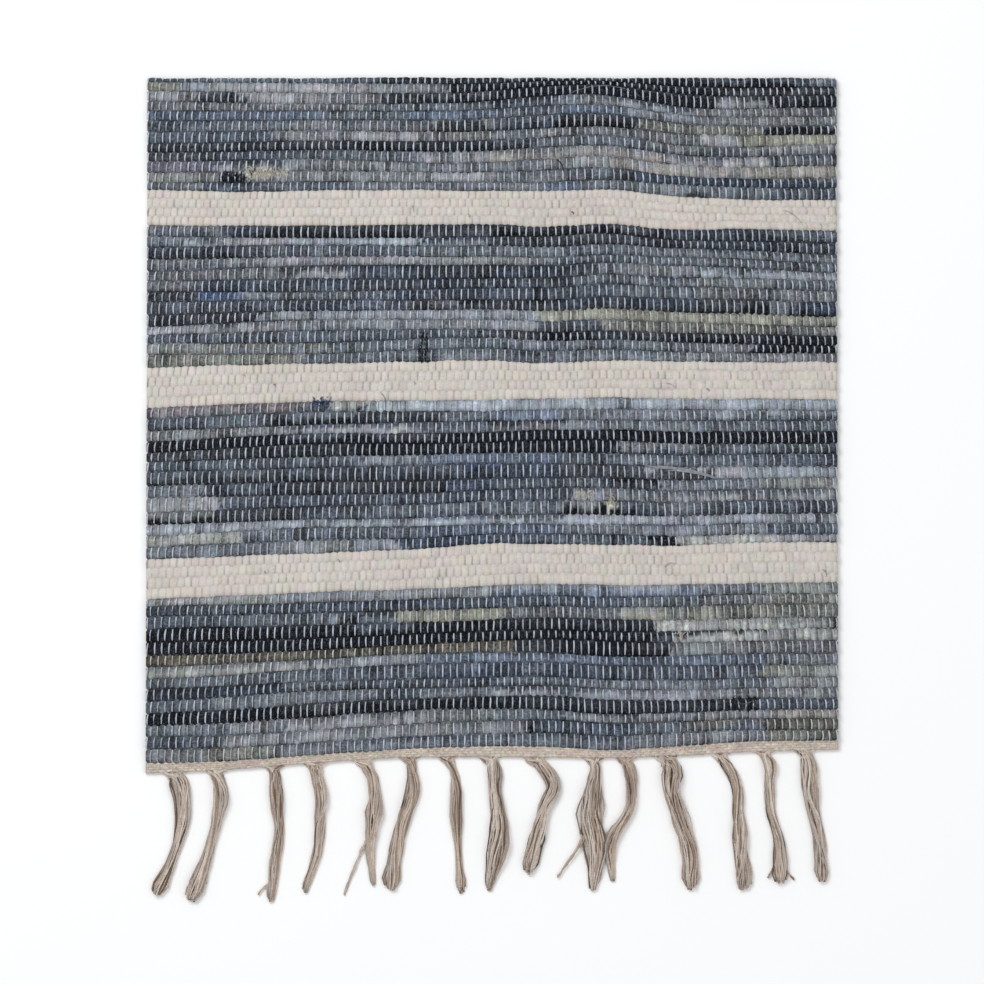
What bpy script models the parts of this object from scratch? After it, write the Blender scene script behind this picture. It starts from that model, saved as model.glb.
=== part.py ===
"""Rag rug: one flat woven body of denim and white rag strips on a cotton warp, the narrow
cotton heading woven at its near end, and the warp ends gathered into fifteen tassels.

Units are metres, +Z is up, +Y runs from the fringe to the far end, and the rug lies on z = 0.
The tables are in millimetres. A depth is a distance from the far end towards the fringe.
"""

import bmesh
import bpy
import numpy as np

MM = 0.001
WIDTH = 600.0  # selvedge to selvedge
THICKNESS = 6.0  # over the crowns of the rag rows
VALLEY = 5.0  # height of the groove between two rag rows
EDGE_ROUND = 1.6  # how far the outer edges round in
GAP = 0.3  # clearance between neighbouring pieces
COLUMNS = 13  # sections across the width, between the rounded selvedges
SELVEDGE_HEIGHT = 0.55  # share of the thickness left at the very edge

# Depth of each band's edge at stations across the width. The woven rows are not quite straight.
BAND_COLUMNS = (
    "x", "far", "white_1", "denim_2", "white_2", "denim_3", "white_3", "denim_4", "end", "heading"
)
BAND_EDGES = (
    (-300, 0, 100.0, 131.5, 258.0, 294.0, 428.0, 464.0, 608.0, 617.0),
    (-225, 0, 101.0, 132.0, 256.0, 291.0, 425.5, 460.5, 606.0, 613.5),
    (-150, 0, 100.5, 132.0, 254.5, 288.5, 422.5, 457.5, 600.5, 607.5),
    (-75, 0, 100.0, 131.0, 253.0, 287.5, 419.5, 455.0, 595.5, 603.0),
    (0, 0, 100.5, 131.0, 252.0, 287.0, 414.5, 452.0, 593.0, 602.5),
    (50, 0, 101.0, 132.5, 254.0, 285.5, 414.5, 450.0, 593.5, 603.0),
    (100, 0, 99.5, 130.5, 252.0, 285.0, 415.0, 451.0, 596.5, 603.5),
    (150, 0, 104.5, 134.5, 252.5, 285.5, 416.0, 451.0, 593.5, 602.0),
    (225, 0, 108.5, 135.0, 253.0, 286.0, 413.5, 449.5, 589.0, 598.0),
    (300, 0, 109.0, 136.5, 253.0, 286.5, 413.0, 449.0, 588.0, 596.0),
)
# Rag rows woven in each band, far end first.
BAND_ROWS = (
    ("far", "white_1", 12),
    ("white_1", "denim_2", 4),
    ("denim_2", "white_2", 13),
    ("white_2", "denim_3", 4),
    ("denim_3", "white_3", 13),
    ("white_3", "denim_4", 4),
    ("denim_4", "end", 14),
)

HEADING_HEIGHT = 3.6
SPINE_WIDTH = 2.6  # last picks, where the warp ends turn into the tassels
SPINE_HEIGHT = 3.2
BAND_INSET = 0.22  # share of a band's width that its rounded side takes
BAND_SHOULDER = 0.7  # share of a band's height at the foot of that side
BURIED = 1.4  # how far each tassel starts inside the spine

# Shares of a tassel's length at its neck, bulge, waist, belly, ankle and tip.
STATIONS = (0.03, 0.11, 0.25, 0.45, 0.70, 1.0)
HEIGHT_OF_WIDTH = (0.46, 0.50, 0.50, 0.46, 0.42, 0.30)
ROOT_SPREAD = 1.75  # the threads gather from this many neck widths
TALLEST = 7.6
TUFT_STEPS = 14
# One row a tassel: neck x, length, sideways sway from the neck at the five later stations, and
# the width at all six.
TASSEL_COLUMNS = (
    "x", "length", "bulge", "waist", "belly", "ankle", "tip", "w0", "w1", "w2", "w3", "w4", "w5"
)
TASSELS = (
    (-275.0, 107, 4.0, 6.5, 6.5, -0.5, -15.0, 11.0, 15.0, 14.0, 12.0, 8.0, 15.0),
    (-239.0, 114, 2.0, 3.5, -0.5, -9.0, -22.5, 9.5, 12.0, 15.0, 9.5, 8.5, 15.0),
    (-189.0, 118, 1.0, 2.5, 5.0, 2.0, -2.0, 8.0, 10.0, 12.5, 9.5, 11.0, 8.0),
    (-153.0, 113, 1.0, 5.0, 4.5, 2.0, -8.5, 11.0, 10.5, 12.0, 11.0, 9.5, 4.0),
    (-111.0, 110, 5.5, 9.5, 8.5, 5.5, 8.0, 10.5, 11.5, 11.5, 14.0, 10.5, 5.0),
    (-71.0, 117, 2.0, 2.0, -5.0, -12.0, -16.5, 8.5, 8.5, 12.5, 12.0, 11.0, 15.5),
    (-38.5, 118, 5.0, 7.5, 7.0, 9.5, 12.0, 8.0, 8.0, 10.5, 10.5, 7.0, 9.0),
    (-1.5, 117, 3.5, 3.5, 6.5, 6.5, -1.0, 9.5, 13.0, 12.0, 14.0, 17.5, 6.0),
    (37.5, 102, 7.5, 16.0, 8.0, 2.5, -5.0, 9.0, 11.0, 12.5, 11.5, 15.0, 14.0),
    (87.5, 115, 1.5, -0.5, -3.0, 1.5, -0.5, 9.5, 10.5, 17.5, 23.5, 20.0, 9.5),
    (116.5, 107, 1.5, 4.5, 1.5, -13.0, -12.0, 9.0, 12.0, 12.0, 12.0, 13.0, 5.0),
    (150.0, 116, 5.5, 5.0, 11.5, 20.0, 22.5, 10.5, 17.0, 15.0, 15.0, 15.0, 15.5),
    (197.0, 119, 7.0, 15.0, 16.0, 19.0, 20.5, 8.0, 9.0, 10.0, 11.5, 15.0, 15.5),
    (235.5, 115, 4.5, 4.5, 6.0, 13.5, 14.0, 8.5, 12.5, 9.5, 9.0, 11.5, 17.0),
    (271.0, 115, 2.5, 3.5, 6.0, 12.5, 14.0, 9.0, 12.0, 15.5, 11.5, 12.0, 15.0),
)
# Wisps that leave a tassel: its row above, start and end share of its length, start and end
# offset from its neck, and start and end width.
WISP_COLUMNS = ("tassel", "from", "to", "x_from", "x_to", "w_from", "w_to")
WISPS = (
    (4, 0.66, 1.07, 3.0, -16.5, 6.5, 3.0),
    (9, 0.60, 0.90, -9.0, -31.5, 9.0, 5.0),
)


def clear_scene():
    for obj in list(bpy.data.objects):
        bpy.data.objects.remove(obj, do_unlink=True)


def material(name, colour, roughness):
    made = bpy.data.materials.new(name)
    made.use_nodes = True
    shader = made.node_tree.nodes["Principled BSDF"]
    shader.inputs["Base Color"].default_value = (*colour, 1.0)
    shader.inputs["Roughness"].default_value = roughness
    shader.inputs["Metallic"].default_value = 0.0
    made.diffuse_color = (*colour, 1.0)
    return made


def smooth(stations, values, at):
    """A cubic through the stations' values whose slope at each station is its neighbours'."""
    stations = np.asarray(stations, float)
    values = np.asarray(values, float)
    slopes = np.gradient(values, stations)
    k = np.clip(np.searchsorted(stations, at, side="right") - 1, 0, len(stations) - 2)
    span = stations[k + 1] - stations[k]
    t = np.clip((at - stations[k]) / span, 0.0, 1.0)
    hold = 2 * t**3 - 3 * t**2 + 1
    return (
        hold * values[k]
        + (1 - hold) * values[k + 1]
        + (t**3 - 2 * t**2 + t) * span * slopes[k]
        + (t**3 - t**2) * span * slopes[k + 1]
    )


def band_depth(name, x):
    column = BAND_COLUMNS.index(name)
    return smooth([row[0] for row in BAND_EDGES], [row[column] for row in BAND_EDGES], x)


def lofted(name, rings, finish):
    """One closed mesh through equal rings of (x, depth, z) points in millimetres."""
    shape = bmesh.new()
    placed = [
        [shape.verts.new((x * MM, -depth * MM, z * MM)) for x, depth, z in ring]
        for ring in rings
    ]
    count = len(placed[0])
    for ring, following in zip(placed, placed[1:]):
        for i in range(count):
            j = (i + 1) % count
            shape.faces.new((ring[i], ring[j], following[j], following[i]))
    shape.faces.new(reversed(placed[0]))
    shape.faces.new(placed[-1])
    bmesh.ops.recalc_face_normals(shape, faces=shape.faces)
    bmesh.ops.triangulate(shape, faces=shape.faces)
    mesh = bpy.data.meshes.new(name)
    shape.to_mesh(mesh)
    shape.free()
    mesh.materials.append(finish)
    mesh.shade_smooth()
    mesh.set_sharp_from_angle(angle=np.radians(40))
    made = bpy.data.objects.new(name, mesh)
    bpy.context.scene.collection.objects.link(made)
    return made


def sections_across():
    """(x, share of full height) of each section: full across the rug, lower at each selvedge."""
    half = WIDTH / 2
    inner = [(x, 1.0) for x in np.linspace(EDGE_ROUND - half, half - EDGE_ROUND, COLUMNS)]
    return [(-half, SELVEDGE_HEIGHT), *inner, (half, SELVEDGE_HEIGHT)]


def row_lines(x):
    """(depth, z) along the body's top at x: a groove before each rag row and a crown on it."""
    line = []
    for first, last, rows in BAND_ROWS:
        start = band_depth(first, x)
        pitch = (band_depth(last, x) - start) / rows
        for row in range(rows):
            line.append((start + row * pitch, VALLEY))
            line.append((start + (row + 0.5) * pitch, THICKNESS))
    return line[1:]


def rug_body():
    denim = material("denim_rag", (0.105, 0.125, 0.165), 0.92)
    rings = []
    for x, share in sections_across():
        end = band_depth("end", x)
        top = [(x, depth, z * share) for depth, z in row_lines(x)]
        far_side = [(x, EDGE_ROUND / 2, 0.0), (x, 0.0, THICKNESS / 2 * share)]
        near_side = [(x, end, THICKNESS / 2 * share), (x, end - EDGE_ROUND / 2, 0.0)]
        rings.append([*far_side, *top, *near_side])
    return lofted("rug_body", rings, denim)


def band(name, start, stop, height, finish):
    """A low rounded band across the rug, between the depths that start and stop give at x."""
    rings = []
    for x, share in sections_across():
        far = start(x)
        near = stop(x)
        inset = BAND_INSET * (near - far)
        crown = height * share
        shoulder = BAND_SHOULDER * crown
        rings.append(
            [
                (x, far, 0.0),
                (x, far, shoulder),
                (x, far + inset, crown),
                (x, near - inset, crown),
                (x, near, shoulder),
                (x, near, 0.0),
            ]
        )
    return lofted(name, rings, finish)


def spine_start(x):
    return band_depth("heading", x) - SPINE_WIDTH


def heading():
    cotton = material("cotton_heading", (0.56, 0.47, 0.38), 0.9)
    return band(
        "heading",
        lambda x: band_depth("end", x) + GAP,
        lambda x: spine_start(x) - GAP,
        HEADING_HEIGHT,
        cotton,
    )


def tuft_ring(centre, along, width, height):
    """A lying bundle's section: flat below, round above, square to its run."""
    across = np.array([-along[1], along[0]])
    profile = (
        (-0.40, 0.0), (-0.50, 0.34), (-0.40, 0.74), (-0.16, 1.0),
        (0.16, 1.0), (0.40, 0.74), (0.50, 0.34), (0.40, 0.0),
    )
    return [
        (*(np.asarray(centre) + side * width * across), up * height) for side, up in profile
    ]


def tuft(name, points, widths, heights, finish):
    """A bundle of threads lofted along a smooth line of (x, depth) points."""
    points = np.asarray(points, float)
    alongs = np.gradient(points, axis=0)
    alongs /= np.linalg.norm(alongs, axis=1)[:, None]
    rings = [
        tuft_ring(centre, along, width, height)
        for centre, along, width, height in zip(points, alongs, widths, heights)
    ]
    made = lofted(name, rings, finish)
    made.hide_render = True
    made.display_type = "WIRE"
    return made


def tassel(number, row, finish):
    value = dict(zip(TASSEL_COLUMNS, row))
    root = float(band_depth("heading", value["x"])) - BURIED
    sway = [0.0] + [value[key] for key in ("bulge", "waist", "belly", "ankle", "tip")]
    neck = value["w0"]
    widths = [neck] + [value[f"w{i}"] for i in range(1, 6)]
    share = np.concatenate([[0.0], np.linspace(STATIONS[0], 1.0, TUFT_STEPS)])
    length = value["length"] + BURIED
    x = value["x"] + smooth(STATIONS, sway, share)
    width = smooth(STATIONS, widths, share)
    width[0] = ROOT_SPREAD * neck
    height = np.minimum(width * smooth(STATIONS, HEIGHT_OF_WIDTH, share), TALLEST)
    height[0] = SPINE_HEIGHT - GAP
    points = np.column_stack([x, root + share * length])
    return tuft(f"tassel_guide_{number:02d}", points, width, height, finish)


def wisp(number, row, finish):
    value = dict(zip(WISP_COLUMNS, row))
    parent = dict(zip(TASSEL_COLUMNS, TASSELS[value["tassel"]]))
    root = float(band_depth("heading", parent["x"]))
    t = np.linspace(0.0, 1.0, 6)
    depth = root + parent["length"] * (value["from"] + t * (value["to"] - value["from"]))
    x = parent["x"] + value["x_from"] + t * (value["x_to"] - value["x_from"])
    width = value["w_from"] + t * (value["w_to"] - value["w_from"])
    points = np.column_stack([x, depth])
    return tuft(f"wisp_guide_{number:02d}", points, width, 0.6 * width, finish)


def fringe():
    """The comb: a thin spine along the heading with a tooth for each tassel, made one body."""
    warp = material("warp_cotton", (0.50, 0.43, 0.36), 0.95)
    comb = band(
        "fringe",
        spine_start,
        lambda x: band_depth("heading", x),
        SPINE_HEIGHT,
        warp,
    )
    teeth = bpy.data.collections.new("fringe_guides")
    bpy.context.scene.collection.children.link(teeth)
    guides = [tassel(i, row, warp) for i, row in enumerate(TASSELS)]
    guides += [wisp(i, row, warp) for i, row in enumerate(WISPS)]
    for guide in guides:
        bpy.context.scene.collection.objects.unlink(guide)
        teeth.objects.link(guide)
        union = comb.modifiers.new(guide.name, "BOOLEAN")
        union.operation = "UNION"
        union.solver = "EXACT"
        union.object = guide
    return comb, guides


def centre_on_origin(pieces, guides):
    """Parents every piece to one empty and slides it so that the box's middle is over the origin."""
    bpy.context.view_layer.update()
    graph = bpy.context.evaluated_depsgraph_get()
    ys = []
    for piece in pieces:
        mesh = piece.evaluated_get(graph).to_mesh()
        ys += [vertex.co.y for vertex in mesh.vertices]
        piece.evaluated_get(graph).to_mesh_clear()
    frame = bpy.data.objects.new("rag_rug_frame", None)
    bpy.context.scene.collection.objects.link(frame)
    frame.location.y = -(min(ys) + max(ys)) / 2
    for piece in [*pieces, *guides]:
        piece.parent = frame


def main():
    clear_scene()
    body = rug_body()
    end_band = heading()
    comb, guides = fringe()
    centre_on_origin([body, end_band, comb], guides)


main()
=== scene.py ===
import math

import bpy
import numpy as np
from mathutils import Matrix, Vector


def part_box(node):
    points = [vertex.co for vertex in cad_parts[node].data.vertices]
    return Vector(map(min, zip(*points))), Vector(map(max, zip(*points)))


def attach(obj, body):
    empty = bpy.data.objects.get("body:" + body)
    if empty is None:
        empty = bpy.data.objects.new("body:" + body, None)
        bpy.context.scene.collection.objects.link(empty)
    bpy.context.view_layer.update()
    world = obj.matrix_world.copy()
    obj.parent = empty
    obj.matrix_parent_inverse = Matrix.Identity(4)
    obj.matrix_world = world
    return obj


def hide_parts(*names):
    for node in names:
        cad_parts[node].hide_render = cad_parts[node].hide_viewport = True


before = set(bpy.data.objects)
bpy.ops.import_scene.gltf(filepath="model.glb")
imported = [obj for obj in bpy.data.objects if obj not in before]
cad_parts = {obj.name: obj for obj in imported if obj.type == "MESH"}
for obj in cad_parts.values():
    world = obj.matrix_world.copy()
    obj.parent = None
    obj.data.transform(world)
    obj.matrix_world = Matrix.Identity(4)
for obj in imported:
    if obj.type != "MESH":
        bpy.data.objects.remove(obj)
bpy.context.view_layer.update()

# The looks of a rag rug: rows of denim and white rag strips woven under and over a light cotton
# warp, a beaten cotton heading, and the warp ends gathered into tassels. Sizes are millimetres
# unless said otherwise; a depth is a distance from the far end towards the fringe.

MM = 0.001
BODY_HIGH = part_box("rug_body")[1]
FAR_Y = BODY_HIGH.y / MM
HALF_WIDTH = BODY_HIGH.x / MM
TOP = BODY_HIGH.z / MM

# ---- the weave, row by row

# Depth of each band's edge across the rug, as in the construction.
BAND_COLUMNS = (
    "x", "far", "white_1", "denim_2", "white_2", "denim_3", "white_3", "denim_4", "end", "heading"
)
BAND_EDGES = (
    (-300, 0, 100, 131.5, 258, 294, 428, 464, 608, 617),
    (-225, 0, 101, 132, 256, 291, 425.5, 460.5, 606, 613.5),
    (-150, 0, 100.5, 132, 254.5, 288.5, 422.5, 457.5, 600.5, 607.5),
    (-75, 0, 100, 131, 253, 287.5, 419.5, 455, 595.5, 603),
    (0, 0, 100.5, 131, 252, 287, 414.5, 452, 593, 602.5),
    (50, 0, 101, 132.5, 254, 285.5, 414.5, 450, 593.5, 603),
    (100, 0, 99.5, 130.5, 252, 285, 415, 451, 596.5, 603.5),
    (150, 0, 104.5, 134.5, 252.5, 285.5, 416, 451, 593.5, 602),
    (225, 0, 108.5, 135, 253, 286, 413.5, 449.5, 589, 598),
    (300, 0, 109, 136.5, 253, 286.5, 413, 449, 588, 596),
)

# The cloths that the strips were torn from.
CLOTHS = {
    "ink": "#15181e",
    "coal": "#2c3037",
    "char": "#3d4047",
    "navy": "#38404e",
    "dusk": "#4b525e",
    "slate": "#5a616a",
    "denim": "#586374",
    "cobalt": "#425070",
    "sky": "#6a7588",
    "steel": "#6d737c",
    "lead": "#65686e",
    "ash": "#787c81",
    "haze": "#898f99",
    "dove": "#92949a",
    "powder": "#9da6b1",
    "pearl": "#a3a6a4",
    "plum": "#636472",
    "mauve": "#736c71",
    "olive": "#5d5d57",
    "moss": "#727470",
    "khaki": "#8b8c81",
    "sage": "#818585",
    "greige": "#8f8c89",
    "bark": "#545048",
    "cream": "#c9c3b6",
    "white": "#cfc8c1",
}

# One entry a rag row, far end first: the strips in it, each with the x where it ends, and the
# row's relative height at these stations. A pair of cloths is the far and the near half.
ROW_STATIONS = (-285, -160, -35, 95, 170, 280)
DENIM_1 = (
    ("slate -150 dusk -95 coal 10 dusk/ink 120 coal/ink 190 dusk/ink 282 ash/dusk 300",
     (4, 5, 6, 3, 9, 9)),
    ("khaki -272 powder -240 dove -110 ash -40 coal/ink 60 ink 120 coal/ink 200 ink/char 300",
     (9, 10, 9, 4, 8, 8)),
    ("dove -258 slate/coal -216 dove -140 ash -97 char -68 char/ink 0 ink 195 coal/ash 240 "
     "coal/ink 300", (10, 11, 10, 10, 13, 12)),
    ("lead -200 ash/lead -110 slate 0 coal/dusk 60 slate/ash 120 dusk/haze 175 ash 240 lead 300",
     (10, 7, 8, 10, 8, 9)),
    ("denim -150 slate -80 denim 10 dusk/slate 60 denim 120 haze/steel 180 ash 300",
     (10, 9, 9, 9, 9, 9)),
    ("dusk/slate -240 slate -175 ash/lead -130 slate/lead -50 ash/coal 0 slate/navy 60 "
     "char/ink 130 moss 230 slate/ink 300", (11, 11, 12, 13, 10, 9)),
    ("dusk -190 ash -120 dove -60 moss/lead 0 slate/ash 60 lead 180 dove 215 khaki 300",
     (12, 10, 10, 9, 12, 10)),
    ("char/coal -120 coal/ink 0 dusk/coal 40 slate 130 ash/dusk 240 dove/lead 300",
     (9, 9, 10, 10, 10, 10)),
    ("char -240 dusk -180 slate -60 ash/dove 0 lead/greige 60 ash/greige 145 lead/dove 240 "
     "dusk/lead 300", (9, 9, 12, 11, 10, 11)),
    ("plum -240 dusk/dove -180 ash/lead -100 ash -60 steel 40 dove/ash 100 dove/greige 180 "
     "greige/ash 240 greige 300", (11, 12, 9, 12, 12, 12)),
    ("sage -240 dusk/ink -218 cream/steel -185 ash -60 dove/ash 0 steel/ash 80 slate/char 120 "
     "navy 240 steel/navy 300", (10, 11, 10, 12, 8, 10)),
    ("lead/slate -250 navy/dusk -205 dusk/slate -120 steel 45 denim 77 steel 120 ash/steel 165 "
     "steel/slate 240 slate/dusk 300", (8, 9, 8, 10, 12, 12)),
)
WHITE = tuple(("white 300", (9, 9, 9, 9, 9, 9)) for _ in range(4))
DENIM_2 = (
    ("lead/dusk -230 dusk/navy -200 char/ink -60 coal/char 0 char/ink 150 navy/coal 240 "
     "slate/coal 300", (11, 12, 13, 9, 11, 12)),
    ("steel/slate -270 slate/powder -240 dove -180 haze -120 powder -62 navy/ash 0 char/coal 180 "
     "navy/coal 240 dusk/char 300", (11, 7, 9, 11, 8, 11)),
    ("dusk/coal -215 slate/dusk -60 slate/steel 0 steel/slate 60 slate 120 steel 180 "
     "dusk/steel 240 slate/steel 300", (12, 12, 11, 11, 9, 9)),
    ("ash/slate -195 dove/steel -120 dove/ash 0 ash/lead 45 steel/dusk 120 slate 300",
     (12, 9, 9, 8, 8, 9)),
    ("lead -180 char/dove -125 navy/dusk -60 coal 0 coal/navy 60 coal/dusk 90 steel 120 "
     "ash/steel 180 slate/powder 240 ash/powder 300", (10, 13, 14, 12, 12, 8)),
    ("lead/char -260 dusk/navy -195 navy/char 0 char/dusk 70 slate 120 dusk/steel 180 ash 240 "
     "steel/slate 300", (11, 13, 10, 10, 9, 10)),
    ("char -257 cobalt/denim -215 steel/slate -120 slate/dusk -85 navy -60 navy/char 0 dusk 110 "
     "slate 180 lead 300", (10, 8, 12, 13, 12, 11)),
    ("dusk/char -180 char/navy -120 dusk -75 lead/char -27 ink/char 0 coal/char 60 navy/char 115 "
     "navy/coal 180 char/ink 240 slate 262 navy/ink 300", (13, 11, 10, 12, 13.5, 14.5)),
    ("char/coal -200 haze 0 haze/steel 37 khaki 240 khaki/moss 300",
     (12, 9, 10, 11, 10, 10)),
    ("ash/dove -240 dusk/dove -185 ash/steel 0 haze/ash 37 dusk/char 95 moss 240 "
     "moss/lead 300", (8, 11, 10, 12, 11, 9)),
    ("dusk -240 slate/dusk -10 char 42 ink 85 coal 129 char/coal 160 coal/ink 240 ink 300",
     (9, 12, 9, 8.5, 9, 9.5)),
    ("sage -240 moss/steel -140 slate -10 steel/dusk 60 steel/slate 120 steel 165 "
     "steel/lead 228 ink 300", (11, 11, 11, 10, 9.5, 7.5)),
    ("moss -165 steel/slate -60 slate/steel 25 coal/slate 47 slate/steel 165 ash 300",
     (13, 10, 13, 12, 9.5, 8.5)),
)
DENIM_3 = (
    ("mauve/lead -160 navy/slate -142 pearl/slate -105 powder 60 powder/haze 300",
     (11, 10, 11, 11, 11, 11)),
    ("dusk/char -253 slate -190 slate/ink -120 char/coal -45 slate 0 sky 60 steel 180 "
     "haze/slate 300", (12, 13, 10, 11, 11, 10)),
    ("ash -180 dusk/dove -60 dusk/slate 0 coal/lead 60 steel 120 slate/steel 240 dusk/slate 300",
     (11, 9, 12, 10, 11, 11)),
    ("ink -180 dusk/ink -90 char/ink -40 ink 300", (11, 10, 10, 10, 12, 12)),
    ("char -220 coal -120 ink 111 ash/dusk 181 slate/dusk 260 slate/char 300",
     (9, 13, 11, 13, 11, 10)),
    ("slate/dusk -166 steel/dusk -110 haze/steel -60 sky 0 denim 60 dusk/slate 120 "
     "dusk/steel 172 dusk/slate 240 dusk 300", (10, 11, 10, 12, 12, 13)),
    ("slate/coal -180 dusk/ink -131 dusk/coal -18 cobalt/coal 7 navy 60 char 129 dove/char 190 "
     "dove 220 haze 300", (14, 14, 16, 13, 13, 11)),
    ("steel -250 ink/char -236 dusk/coal -180 char/coal -45 navy 0 dusk/slate 98 ink/char 150 "
     "steel 233 sage 300", (12, 13, 12, 10, 11, 11)),
    ("dove -237 slate/dusk -205 dusk 68 slate/dove 86 slate/haze 95 slate/ash 180 slate/dove 300",
     (15, 12, 11, 13, 11, 12)),
    ("ash/ink -240 char/coal -166 char/dusk -97 slate/dusk -45 steel/dusk 0 slate 59 "
     "ash/ink 100 cream 105 dusk/ink 129 steel/dusk 181 dusk/char 300", (12, 13, 14, 14, 14, 13)),
    ("haze/powder -60 sky/powder 0 slate/powder 60 haze/powder 120 powder/haze 180 haze 300",
     (11, 8, 9, 10, 9, 10)),
    ("pearl -218 haze/slate -180 slate/dusk -60 denim 0 denim/sky 60 steel 120 sky/haze 180 "
     "steel 240 slate/dusk 300", (11, 13, 11, 10, 11, 11)),
    ("steel -180 ash -120 haze -78 navy 0 dusk 60 dusk/slate 138 ink 160 pearl 240 dove 300",
     (12, 13, 10, 10, 9, 8)),
)
DENIM_4 = (
    ("dove/sage -200 haze/ash 0 haze/sky 185 steel 233 sage 300", (7, 10, 10, 12, 11, 11)),
    ("dusk -210 navy/dusk -115 navy/char -60 dusk 120 slate 180 lead 240 moss 300",
     (10, 10, 11, 10, 10, 10)),
    ("dusk -220 slate -140 dusk/haze -128 dusk/ink -114 coal/slate -84 khaki 7 lead 60 "
     "slate/lead 111 sage/khaki 198 moss 300", (12, 12, 12, 12, 14, 14)),
    ("ink -120 dusk/ink -60 ink 0 coal/ink 140 pearl 180 dove/pearl 240 ash/pearl 300",
     (13, 13, 11, 12, 11, 11)),
    ("ink 140 coal/dusk 158 coal/pearl 240 dove/pearl 300", (13, 12, 10, 9, 11, 12)),
    ("bark -180 bark/olive 20 coal 60 ink 120 char/ink 158 ash 240 lead 300",
     (11, 9, 10, 15, 13, 13)),
    ("ash/pearl -166 steel/dove -120 haze -60 denim/sky 0 dusk/sky 60 denim/sky 200 "
     "denim/steel 240 steel 300", (12, 10, 10, 9, 10, 12)),
    ("slate -166 dusk/slate -106 coal/dusk -92 dusk/slate -62 dusk/navy 120 dusk 180 "
     "dusk/slate 233 moss/sage 300", (10, 12, 15, 14, 14, 12)),
    ("coal/navy -180 slate/char -120 dusk/char 0 slate/dusk 85 steel 180 slate 240 ash 300",
     (12, 9, 9, 9, 10, 11)),
    ("slate -240 steel -100 dusk -62 slate/steel 0 char/haze 60 slate/haze 120 ash/haze 180 "
     "ash 300", (12, 13, 10, 11, 10, 11)),
    ("ink -180 char/ink -60 ink 0 coal/ink 120 coal 230 dusk 300", (12, 13, 11, 14, 12, 11)),
    ("steel/slate -244 ash/slate -180 lead/dove -60 ash 0 slate 60 slate/ash 120 haze/lead 180 "
     "ash 240 greige 300", (11, 13, 13, 9, 9, 9)),
    ("slate/dusk -236 ash/dove -180 steel/dove -120 lead/ash 30 char/ink 38 navy/dusk 129 "
     "slate 172 olive/dusk 240 olive 300", (12, 12, 13, 12, 11, 12)),
    ("ash -253 moss -192 slate/ash -120 dusk/steel 120 steel/ash 164 lead/ash 181 ash/lead 240 "
     "moss 300", (13, 12, 11, 14, 12, 10)),
)
BANDS = (
    ("weft_denim_1", "far", "white_1", DENIM_1, "denim_rag"),
    ("weft_white_1", "white_1", "denim_2", WHITE, "white_rag"),
    ("weft_denim_2", "denim_2", "white_2", DENIM_2, "denim_rag"),
    ("weft_white_2", "white_2", "denim_3", WHITE, "white_rag"),
    ("weft_denim_3", "denim_3", "white_3", DENIM_3, "denim_rag"),
    ("weft_white_3", "white_3", "denim_4", WHITE, "white_rag"),
    ("weft_denim_4", "denim_4", "end", DENIM_4, "denim_rag"),
)

WARPS = 190
WARP_PITCH = 2 * HALF_WIDTH / WARPS
ROW_X = np.arange(2 * WARPS + 1) * WARP_PITCH / 2 - HALF_WIDTH  # at each warp, and between them
AT_WARP = np.arange(len(ROW_X)) % 2 == 1
WARP_NUMBER = np.arange(len(ROW_X)) // 2  # the warp at each x, or the next after it

# How each cloth fills its row: mean height of its top, how far it rises and dips over and under
# the warps, how wide it is against the row, how uneven it is, and the warp's own colour there:
# the denim's dye and lint have rubbed off on it.
FILLS = {
    "denim_rag": {
        "crown": 5.0, "swing": 0.85, "spread": 1.14, "uneven": 1.0, "warp": "#c0c1c4"
    },
    "white_rag": {
        "crown": 5.2, "swing": 0.42, "spread": 1.30, "uneven": 0.12, "warp": "#ccc6c0"
    },
}

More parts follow.
